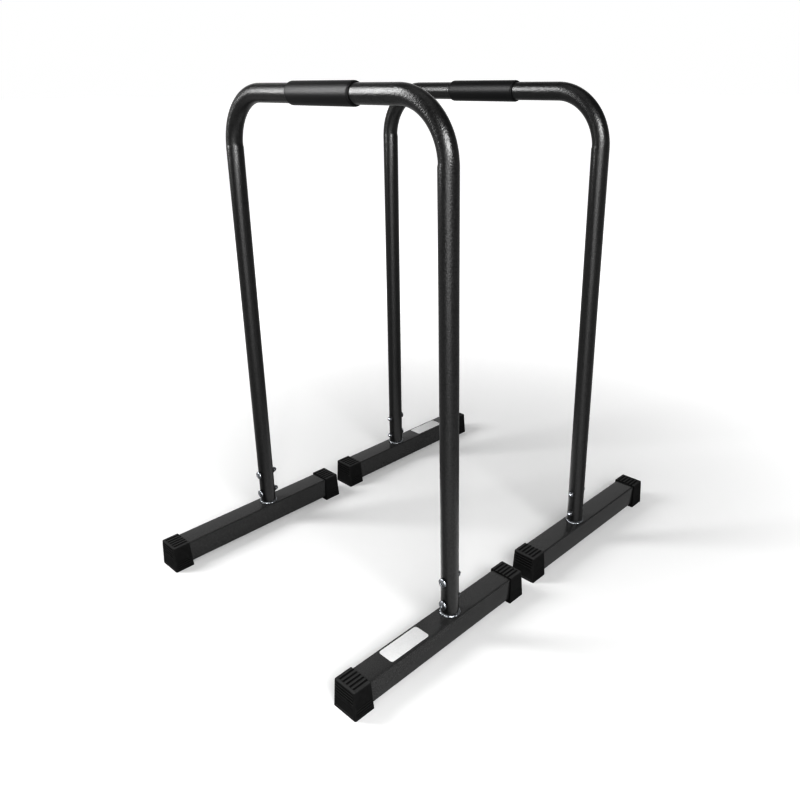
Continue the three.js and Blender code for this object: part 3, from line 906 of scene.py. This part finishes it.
class CapForm:
    """The surface of an end cap in its own frame: tube's end at y = 0, end face towards +Y."""

    def __init__(self, cap, feet):
        self.cap = cap
        self.feet = feet
        # Each point's share of painted shade
        self.sunk = []
        spaced = (cap.top_count - 1) / 2
        self.top = [((i - spaced) * cap.top_pitch, cap.top_groove / 2) for i in range(cap.top_count)]
        self.end = [(cap.height - cap.end_first - i * cap.end_pitch, cap.end_groove / 2)
                    for i in range(cap.end_count)]
        self.side = [(cap.side_first + i * cap.side_pitch, cap.side_groove / 2)
                     for i in range(cap.side_count)]
        self.panel = [(cap.panel_bottom + cap.panel_height / 2, cap.panel_height / 2)]
        self.field = [(0.0, cap.top_width / 2 - cap.end_margin)]
        self.x_levels = notch_levels(self.field + self.top, cap.crease)
        self.z_levels = notch_levels(self.panel + self.end + self.side, cap.crease)

    def spread(self, z):
        """How far the sides stand out at a height, beyond their place at the top."""
        return self.cap.flare * (1 - z / self.cap.height)

    def back(self, z):
        """The end face's place along the foot at a height."""
        return self.cap.end_face + self.spread(z)

    def mouth(self, z):
        """The mouth's place along the foot at a height."""
        return self.cap.end_face - self.cap.length - self.spread(z)

    def outline(self, inset):
        """The section across the foot, as (x, z, kind) points, drawn in by an inset."""
        cap = self.cap
        share = inset / cap.corner
        top = cap.height - cap.edge * share
        bottom = cap.sole_edge * share
        edge = max(cap.edge * (1 - share), cap.least_edge)
        sole = max(cap.sole_edge * (1 - share), cap.least_edge)

        def half(z):
            return cap.top_width / 2 + self.spread(z) - inset

        def corner(radius, z, start):
            x = half(z) - radius
            return [(x + radius * cos(a), z + radius * sin(a), "corner")
                    for a in arc(cap.corner_steps, start)]

        right = [(half(z), z, "side") for z in self.z_levels]
        sole_corner = corner(sole, bottom + sole, -pi / 2)
        top_corner = corner(edge, top - edge, 0.0)
        stretch = sole_corner[0][0] / top_corner[-1][0]
        sole_row = [(x * stretch, bottom, "sole") for x in self.x_levels]
        top_row = [(x, top, "top") for x in reversed(self.x_levels)]
        left = [(-x, z, kind) for x, z, kind in reversed(sole_corner + right + top_corner)]
        return sole_row + sole_corner + right + top_corner + top_row + left

    def top_sinking(self, x, y):
        """How far into a top groove a place is. They run in from the mouth."""
        cap = self.cap
        along = (cap.end_face - cap.top_land - y) / (2 * cap.crease) + 1 / 2
        return notch(x, self.top, cap.crease) * eased(along)

    def side_sinking(self, z, share):
        """How far into a side groove a place is. They stop short of both ends."""
        start_share, stop_share, fade_share = 0.05, 0.97, 0.03
        along = min(share - start_share, stop_share - share) / fade_share
        return notch(z, self.side, self.cap.crease) * min(max(along, 0.0), 1.0)

    def end_sinking(self, x, z):
        """Depth of the end face's grooves and panel, and how far into a groove a place is."""
        cap = self.cap
        across = notch(x, self.field, cap.crease)
        grooves = notch(z, self.end, cap.crease)
        panel = notch(z, self.panel, cap.crease)
        depth = across * max(cap.end_depth * grooves, cap.panel_depth * panel)
        # The second value is the end grooves' share of painted shade
        return depth, across * min(cap.dark_reach * grooves, 1.0)

    def body_ring(self, share, inset=0.0, rim=0.0, bulge=0.0):
        """One ring of the cap's outside, a share of the way from the mouth to the end face.

        Rim takes it back over the rounding of the mouth, and bulge on over that of the end face.
        """
        cap = self.cap
        ring = []
        for x, z, kind in self.outline(inset):
            start = self.mouth(z) + cap.rim
            stop = self.back(z) - cap.corner
            y = start + (stop - start) * share - rim + bulge
            # Painted shade darkens the mouth's rim
            sunk = rim / cap.rim
            if inset == 0.0 and kind == "top":
                sunk = self.top_sinking(x, y)
                z -= cap.top_depth * sunk
                # The top grooves take a smaller share of painted shade
                sunk *= cap.dusty_share
            if inset == 0.0 and kind == "side":
                sunk = self.side_sinking(z, share)
                x -= copysign(cap.side_depth * sunk, x)
            ring.append(Vector((x, y, z)))
            self.sunk.append(sunk)
        return ring

    def pocket_ring(self, y_of):
        """The pocket's outline, one point for each point of the outside."""
        cap, feet = self.cap, self.feet
        half = feet.tube / 2 + cap.play
        radius = feet.corner + cap.play
        middle = feet.bottom + feet.tube / 2
        flat = half - radius
        ring = []
        for x, z, _ in self.outline(0.0):
            way = Vector((x, z - middle))
            way *= half / max(abs(way.x), abs(way.y))
            if abs(way.x) > flat and abs(way.y) > flat:
                centre = Vector((copysign(flat, way.x), copysign(flat, way.y)))
                way = centre + (way - centre).normalized() * radius
            ring.append(Vector((way.x, y_of(z), middle + way.y)))
            # The pocket takes full painted shade
            self.sunk.append(1.0)
        return ring

    def rings(self):
        """All rings, from the pocket's end out over the mouth and along to the end face."""
        cap = self.cap
        rings = [self.pocket_ring(lambda z: cap.play), self.pocket_ring(self.mouth)]
        for a in reversed(arc(cap.rim_steps)):
            rings.append(self.body_ring(0.0, cap.rim * (1 - cos(a)), cap.rim * sin(a)))
        land_share = 1 - (cap.top_land - cap.corner) / (cap.length - cap.corner - cap.rim)
        ring_shares = [0.02, 0.05, 0.08, 0.3, 0.55, 0.8, 0.94, 0.97]
        crease_shares = (-1.2, -0.4, 0.4, 1.2)
        ring_shares += [land_share + share * cap.crease / cap.length for share in crease_shares]
        rings += [self.body_ring(share) for share in sorted(ring_shares)]
        for a in arc(cap.corner_steps):
            rings.append(self.body_ring(1.0, cap.corner * (1 - cos(a)), bulge=cap.corner * sin(a)))
        return rings

    def end_faces(self, vertices, size):
        """Adds the end face's points to those of the rings, and gives the faces that close it."""
        across, upward = len(self.x_levels), len(self.z_levels)
        corner = self.cap.corner_steps + 1
        start = len(vertices) - size
        runs = []
        for points in (across, corner, upward, corner) * 2:
            runs.append(list(range(start, start + points)))
            start += points
        sole, sole_right, right, top_right, top, top_left, left, sole_left = runs
        top.reverse()
        left.reverse()
        rows = [[None, *sole, None]]
        for z, left_point, right_point in zip(self.z_levels, left, right):
            row = [left_point]
            for below, above in zip(sole, top):
                low, high = vertices[below], vertices[above]
                x = low.x + (high.x - low.x) * (z - low.z) / (high.z - low.z)
                depth, sunk = self.end_sinking(x, z)
                row.append(len(vertices))
                vertices.append(Vector((x, self.back(z) - depth, z)))
                self.sunk.append(sunk)
            rows.append(row + [right_point])
        rows.append([None, *top, None])
        faces = [(low[i], low[i + 1], high[i + 1], high[i])
                 for low, high in zip(rows, rows[1:]) for i in range(across + 1)]
        faces = [face for face in faces if None not in face]
        fans = ((rows[1][-2], [sole[-1], *sole_right, right[0]]),
                (rows[-2][-2], [right[-1], *top_right, top[-1]]),
                (rows[-2][1], [top[0], *top_left, left[-1]]),
                (rows[1][1], [left[0], *sole_left, sole[0]]))
        for hub, rim in fans:
            faces += [(hub, a, b) for a, b in zip(rim, rim[1:])]
        return faces


def cap_mesh(cap, feet):
    """One end cap: ribbed outside, grooved end face, rim and pocket, all one skin."""
    form = CapForm(cap, feet)
    rings = form.rings()
    size = len(rings[0])
    vertices, faces = skin(rings)
    faces.append(tuple(range(size)))
    faces += form.end_faces(vertices, size)
    return mesh_from("end_cap", vertices, faces, ["cap_rubber"], sharp=SHARP_RUBBER_EDGE,
                     sunk=form.sunk)


class DIP_OT_end_caps(bpy.types.Operator):
    """Build the ribbed rubber end caps"""
    bl_idname = "dip.end_caps"
    bl_label = "End caps"

    def execute(self, context):
        scene = context.scene
        mesh = cap_mesh(scene.dip_caps, scene.dip_feet)
        outer, inner = foot_ends(scene.dip_feet)
        for stand, foot, side in LEGS:
            for end, along, turn in (("outer", outer, pi), ("inner", inner, 0.0)):
                matrix = (foot_matrix(stand, side, scene) @ Matrix.Translation((0.0, along, 0.0))
                          @ Matrix.Rotation(turn, 4, "Z"))
                place_piece(f"{stand}_{foot}_{end}_end_cap", mesh, matrix,
                            f"{stand}_{foot}_{end}_cap")
        return {"FINISHED"}


# Fasteners. All lie along Y, with the bolt's head towards -Y and its nut towards +Y


def hexagon(across_flats, turn):
    """Radius of a hexagon at a turn."""
    sector = pi / 3
    return across_flats / 2 / cos((turn + sector / 2) % sector - sector / 2)


def bolt_mesh(fit):
    """Button-head bolt with a hexagon socket whose mouth is slightly broken."""
    head, shank = fit.head / 2, fit.bolt / 2
    base = -fit.head_seat
    crown = base - fit.head_height
    floor = crown + fit.socket_depth
    dome = fit.head_height - fit.head_rim
    stop = fit.head_seat + fit.reach

    def socket(grow):
        return lambda a: hexagon(fit.socket, a) + grow

    mouth = asin(min((fit.socket / 2 + 3 * fit.edge) / head, 1.0))
    profile = [(floor, fit.edge), (floor, socket(-fit.edge)), (floor - fit.edge, socket(0.0)),
               (crown + 2 * fit.edge, socket(0.0)), (crown + fit.edge / 2, socket(fit.edge))]
    profile += [(base - fit.head_rim - dome * cos(turn), head * sin(turn))
                for turn in arc(fit.dome_steps, mouth, pi / 2 - mouth)]
    profile += [(base - fit.edge, head), (base, head - fit.edge), (base, shank),
                (stop - fit.edge, shank), (stop, shank - fit.edge), (stop, fit.edge)]
    return ring_mesh("button_bolt", revolved(profile, fit.sides, "Y"), "fastener_steel",
                     sharp=SHARP_TURNED_EDGE)


def washer_mesh(fit, sign):
    """Saddle washer, flat outside and hollowed inside to the leg. Sign is its side of the leg."""
    hole, rim = fit.hole / 2, fit.washer / 2
    face, shoulder = sign * fit.washer_face, sign * (fit.washer_face - fit.edge)

    def hollow(radius):
        return lambda turn: sign * sqrt(fit.seat ** 2 - (radius * cos(turn)) ** 2), radius

    profile = (hollow(hole), (shoulder, hole), (face, hole + fit.edge), (face, rim - fit.edge),
               (shoulder, rim), hollow(rim), hollow((rim + hole) / 2))
    return ring_mesh("saddle_washer", revolved(profile, fit.sides, "Y"), "washer_nylon",
                     close_loop=True)


def cap_nut_mesh(fit):
    """Cap nut: hexagon with chamfered corners, neck, dome and blind bore."""
    base = fit.head_seat
    dome = fit.nut_dome / 2
    bore = fit.hole / 2
    bore_end = base + fit.nut_bore
    top = base + fit.nut_hex
    dome_base = base + fit.nut_height - dome

    def hexed(turn):
        return hexagon(fit.nut, turn)

    def chamfered(turn):
        return min(hexed(turn), fit.nut / 2 + fit.edge)

    profile = [(bore_end, fit.edge), (bore_end, bore - fit.edge), (bore_end - fit.edge, bore),
               (base + fit.edge, bore), (base, bore + fit.edge), (base, chamfered),
               (base + 3 * fit.edge / 2, hexed), (top - 2 * fit.edge, hexed),
               (top - fit.edge / 2, chamfered), (top, dome + fit.edge),
               (top + fit.edge / 2, dome), (dome_base, dome)]
    profile += [(dome_base + dome * sin(turn), dome * cos(turn))
                for turn in arc(fit.dome_steps)[1:-1]]
    profile.append((dome_base + dome * fit.tip_share, fit.edge / 2))
    return ring_mesh("cap_nut", revolved(profile, fit.sides, "Y"), "fastener_steel",
                     sharp=SHARP_TURNED_EDGE)


def place_fasteners(scene, parts):
    """Sets parts at both heights of every leg. A part is a mesh, its word and its node's ending."""
    fit = scene.dip_fasteners
    heights = {"lower": fit.lower_height, "upper": fit.lower_height + fit.pitch}
    for stand, foot, side in LEGS:
        for place, height in heights.items():
            matrix = leg_matrix(stand, side, scene) @ raised(height)
            for mesh, word, ending in parts:
                place_piece(f"{stand}_{foot}_{place}_{word}", mesh, matrix,
                            f"{stand}_{foot}_{place}_{ending}")


class DIP_OT_bolts(bpy.types.Operator):
    """Build the button-head bolts"""
    bl_idname = "dip.bolts"
    bl_label = "Bolts"

    def execute(self, context):
        mesh = bolt_mesh(context.scene.dip_fasteners)
        place_fasteners(context.scene, [(mesh, "button_bolt", "bolt")])
        return {"FINISHED"}


class DIP_OT_washers(bpy.types.Operator):
    """Build the saddle washers on both sides of the legs"""
    bl_idname = "dip.washers"
    bl_label = "Saddle washers"

    def execute(self, context):
        fit = context.scene.dip_fasteners
        parts = [(washer_mesh(fit, sign), f"{end}_saddle", f"{end}_washer")
                 for end, sign in (("head", -1), ("nut", 1))]
        place_fasteners(context.scene, parts)
        return {"FINISHED"}


class DIP_OT_cap_nuts(bpy.types.Operator):
    """Build the cap nuts"""
    bl_idname = "dip.cap_nuts"
    bl_label = "Cap nuts"

    def execute(self, context):
        mesh = cap_nut_mesh(context.scene.dip_fasteners)
        place_fasteners(context.scene, [(mesh, "domed_nut", "cap_nut")])
        return {"FINISHED"}


# Labels


def label_mesh(label):
    """A thin plate with round corners and a softened upper edge, left blank."""
    half_width = label.width / 2 - label.corner
    half_length = label.length / 2 - label.corner
    levels = [(0.0, 0.0)]
    levels += [(label.edge * (1 - cos(a)), label.thickness - label.edge * (1 - sin(a)))
               for a in arc(label.edge_steps)]
    rings = [[Vector((x, y, z)) for x, y in
              rounded_rectangle(half_width, half_length, label.corner - inset, label.corner_steps)]
             for inset, z in levels]
    return ring_mesh("label", rings, "label_white")


class DIP_OT_labels(bpy.types.Operator):
    """Build the blank label plates"""
    bl_idname = "dip.labels"
    bl_label = "Labels"

    def execute(self, context):
        scene = context.scene
        label = scene.dip_labels
        mesh = label_mesh(label)
        along = -label.from_leg - label.length / 2
        on_foot = Matrix.Translation((0.0, along, foot_top(scene.dip_feet) + label.play))
        for stand in STANDS:
            place_piece(f"{stand}_label_plate", mesh, foot_matrix(stand, 1, scene) @ on_foot,
                        f"{stand}_blank_label")
        return {"FINISHED"}


# Studio


def add_softbox(box, studio):
    """A rectangular soft light that faces the point it is aimed at."""
    data = bpy.data.lights.new(f"{box}_softbox", "AREA")
    data.shape = "RECTANGLE"
    data.size, data.size_y = getattr(studio, f"{box}_size")
    data.energy = getattr(studio, f"{box}_power")
    lamp = add_object(f"{box}_softbox", data)
    lamp.visible_camera = False
    place = Vector(getattr(studio, f"{box}_place"))
    aim = Vector(getattr(studio, f"{box}_aim"))
    lamp.location = place
    lamp.rotation_euler = (aim - place).to_track_quat("-Z", "Y").to_euler()
    if box in FLAGGED_SOFTBOXES:
        # Black card keeps this one off everything but the frame tubes
        lit = bpy.data.collections.new(f"{box}_lit")
        for stand in STANDS:
            lit.objects.link(bpy.data.objects[f"{stand}_tube"])
        lamp.light_linking.receiver_collection = lit


def add_camera(studio):
    """The camera that stands where the photograph was taken from."""
    data = bpy.data.cameras.new("photo_camera")
    data.lens = studio.focal
    data.shift_x, data.shift_y = studio.shift
    camera = add_object("photo_camera", data)
    camera.matrix_world = (Matrix.Translation(studio.place)
                           @ Matrix.Rotation(studio.azimuth, 4, "Z")
                           @ Matrix.Rotation(pi / 2 - studio.pitch, 4, "X")
                           @ Matrix.Rotation(studio.roll, 4, "Z"))
    bpy.context.scene.camera = camera


def add_floor(studio):
    """The pale floor."""
    half = studio.floor_size / 2
    corners = [(-half, -half, 0), (half, -half, 0), (half, half, 0), (-half, half, 0)]
    mesh = bpy.data.meshes.new("studio_floor")
    mesh.from_pydata(corners, [], [(0, 1, 2, 3)])
    mesh.materials.append(finish_for("floor"))
    floor = add_object("studio_floor", mesh)


def studio_surround(studio):
    """A white wall all round that darkens towards the ceiling."""
    world = bpy.data.worlds.new("studio_surround")
    world.use_nodes = True
    world.node_tree.nodes.clear()
    add = partial(add_node, world.node_tree)
    way = add("TexCoord").outputs["Generated"]
    upward = add("SeparateXYZ", links={"Vector": way}).outputs["Z"]
    strength = add("MapRange", {"interpolation_type": "SMOOTHSTEP", "From Min": sin(studio.wall_top),
                                "From Max": sin(studio.ceiling_start), "To Min": studio.wall,
                                "To Max": studio.ceiling}, {"Value": upward})
    background = add("Background", {"Color": WHITE}, {"Strength": strength})
    add("OutputWorld", links={"Surface": background})
    return world


class DIP_OT_stage(bpy.types.Operator):
    """Build the floor, the lights and the camera"""
    bl_idname = "dip.stage"
    bl_label = "Studio"

    def execute(self, context):
        scene = context.scene
        studio = scene.dip_studio
        add_floor(studio)
        add_camera(studio)
        for box in SOFTBOXES:
            add_softbox(box, studio)
        scene.world = studio_surround(studio)
        scene.view_settings.view_transform = "Standard"
        scene.view_settings.gamma = studio.contrast
        return {"FINISHED"}


# Panel and registration


GROUPS = {
    "dip_tube": TubeSizes,
    "dip_grip": GripSizes,
    "dip_feet": FootSizes,
    "dip_caps": CapSizes,
    "dip_fasteners": FastenerSizes,
    "dip_labels": LabelSizes,
    "dip_colours": FinishColours,
    "dip_studio": StudioSettings,
}
OPERATORS = (DIP_OT_frame_tubes, DIP_OT_grips, DIP_OT_feet, DIP_OT_end_caps, DIP_OT_bolts,
             DIP_OT_washers, DIP_OT_cap_nuts, DIP_OT_labels, DIP_OT_stage)


class DIP_PT_panel(bpy.types.Panel):
    """Sidebar panel with the build steps and their sizes"""
    bl_idname = "DIP_PT_panel"
    bl_label = "Dip station"
    bl_space_type = "VIEW_3D"
    bl_region_type = "UI"
    bl_category = "Dip station"

    def draw(self, context):
        for operator in OPERATORS:
            self.layout.operator(operator.bl_idname)
        for name, group in GROUPS.items():
            box = self.layout.box()
            box.label(text=group.__doc__)
            for key in group.__annotations__:
                box.prop(getattr(context.scene, name), key)


CLASSES = (*GROUPS.values(), *OPERATORS, DIP_PT_panel)


def register():
    """Registers every class and hangs the settings on the scene."""
    for cls in CLASSES:
        bpy.utils.register_class(cls)
    for name, group in GROUPS.items():
        setattr(bpy.types.Scene, name, PointerProperty(type=group))


def unregister():
    """Takes everything off again, in the opposite order."""
    for name in GROUPS:
        delattr(bpy.types.Scene, name)
    for cls in reversed(CLASSES):
        bpy.utils.unregister_class(cls)


def main():
    """Builds the whole scene."""
    register()
    bpy.ops.dip.frame_tubes()
    bpy.ops.dip.grips()
    bpy.ops.dip.feet()
    bpy.ops.dip.end_caps()
    bpy.ops.dip.bolts()
    bpy.ops.dip.washers()
    bpy.ops.dip.cap_nuts()
    bpy.ops.dip.labels()
    bpy.ops.dip.stage()
    bpy.context.view_layer.update()


if __name__ == "__main__":
    main()
